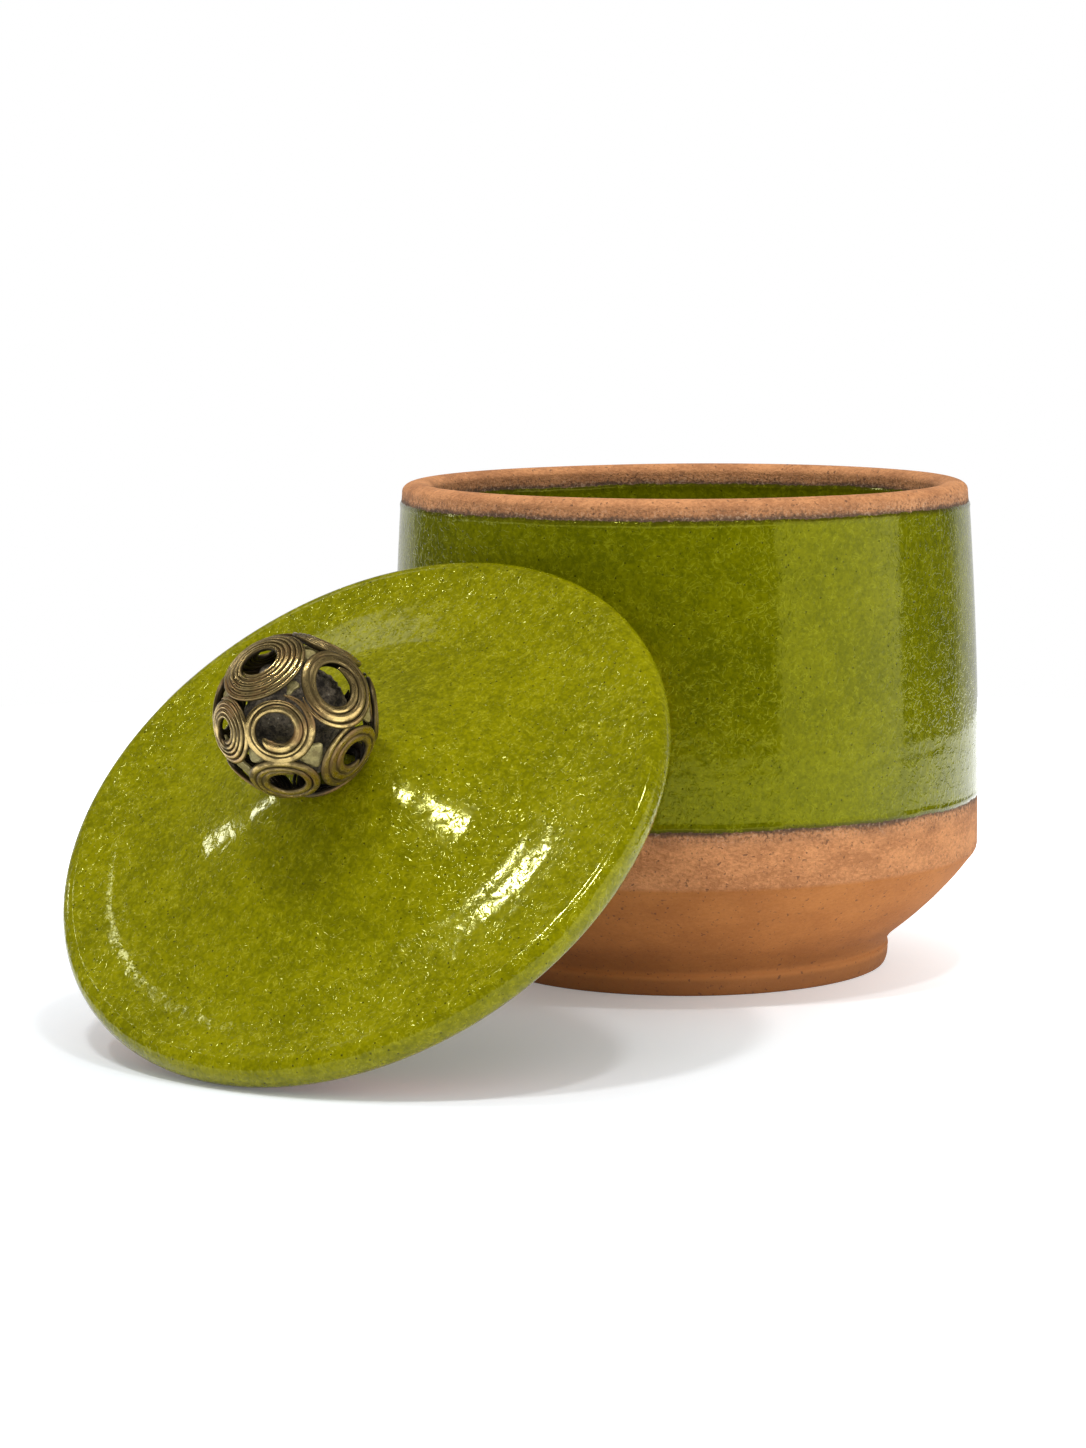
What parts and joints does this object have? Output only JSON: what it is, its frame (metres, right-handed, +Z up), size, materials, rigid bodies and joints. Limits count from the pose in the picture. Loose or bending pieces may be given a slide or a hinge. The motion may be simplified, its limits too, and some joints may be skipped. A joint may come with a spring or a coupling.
{
  "type": "lidded jar",
  "caption": "Thrown, green-glazed pottery jar with bare clay rim and foot; its loose conical lid, with an openwork wire-coil ball knob, leans on the wall and can be set on the rim.",
  "frame": {"origin": "centre of the jar's flat foot, where it stands on the table", "axes": "+Z up along the jar's axis; -X from the jar's axis towards the lid's knob where the lid leans; Y across, by the right-hand rule"},
  "size_m": [0.261, 0.152, 0.1235],
  "materials": {
    "jar_stoneware": "glossy olive green glaze over bare terracotta at the rim and below the shoulder",
    "lid_glaze": "glossy olive green glaze",
    "knob_brass": "antique brass wire, dark in its grooves",
    "knob_solder": "dull grainy braze",
    "knob_filling": "rough dark set filler",
    "fixing_steel": "plain zinc-plated steel",
    "fixing_fibre": "red-brown vulcanised fibre"
  },
  "bodies": {
    "jar": {"jar_body": "jar_stoneware"},
    "lid_carrier": {"knob_core": "knob_filling"},
    "lid_fixings": {"fixing_screw": "fixing_steel", "fixing_washer": "fixing_steel", "fixing_pad": "fixing_fibre"},
    "lid": {"lid_body": "lid_glaze", "knob_coil_top": "knob_brass", "knob_coil_upper_1": "knob_brass", "knob_coil_upper_2": "knob_brass", "knob_coil_upper_3": "knob_brass", "knob_coil_upper_4": "knob_brass", "knob_coil_upper_5": "knob_brass", "knob_coil_upper_6": "knob_brass", "knob_coil_lower_1": "knob_brass", "knob_coil_lower_2": "knob_brass", "knob_coil_lower_3": "knob_brass", "knob_coil_lower_4": "knob_brass", "knob_coil_lower_5": "knob_brass", "knob_coil_lower_6": "knob_brass", "knob_coil_base": "knob_brass", "knob_web_1": "knob_solder", "knob_web_2": "knob_solder", "knob_web_3": "knob_solder", "knob_web_4": "knob_solder", "knob_web_5": "knob_solder", "knob_web_6": "knob_solder", "knob_web_7": "knob_solder", "knob_web_8": "knob_solder", "knob_web_9": "knob_solder", "knob_web_10": "knob_solder", "knob_web_11": "knob_solder", "knob_web_12": "knob_solder", "knob_web_13": "knob_solder", "knob_web_14": "knob_solder", "knob_filler": "knob_filling", "fixing_nut": "fixing_steel"}
  },
  "joints": [
    {"name": "lid_carry", "type": "hinge", "parent": "jar", "child": "lid_carrier", "pos_m": [-0.0996, 0, 0.16274], "axis": [0.0098, 0.9998, -0.018], "range_deg": [0, 237.21]},
    {"name": "lid_tilt", "type": "hinge", "parent": "lid_carrier", "child": "lid_fixings", "pos_m": [-0.15353, 0, 0.07901], "axis": [0, 1, 0], "range_deg": [-193.86, 0]},
    {"name": "lid_turn", "type": "hinge", "parent": "lid_fixings", "child": "lid", "pos_m": [-0.15353, 0, 0.07901], "axis": [-0.6861, -0.036, 0.7266], "continuous": true}
  ],
  "couplings": [
    {"joint": "lid_tilt", "follows": "lid_carry", "ratio": -0.81724}
  ]
}
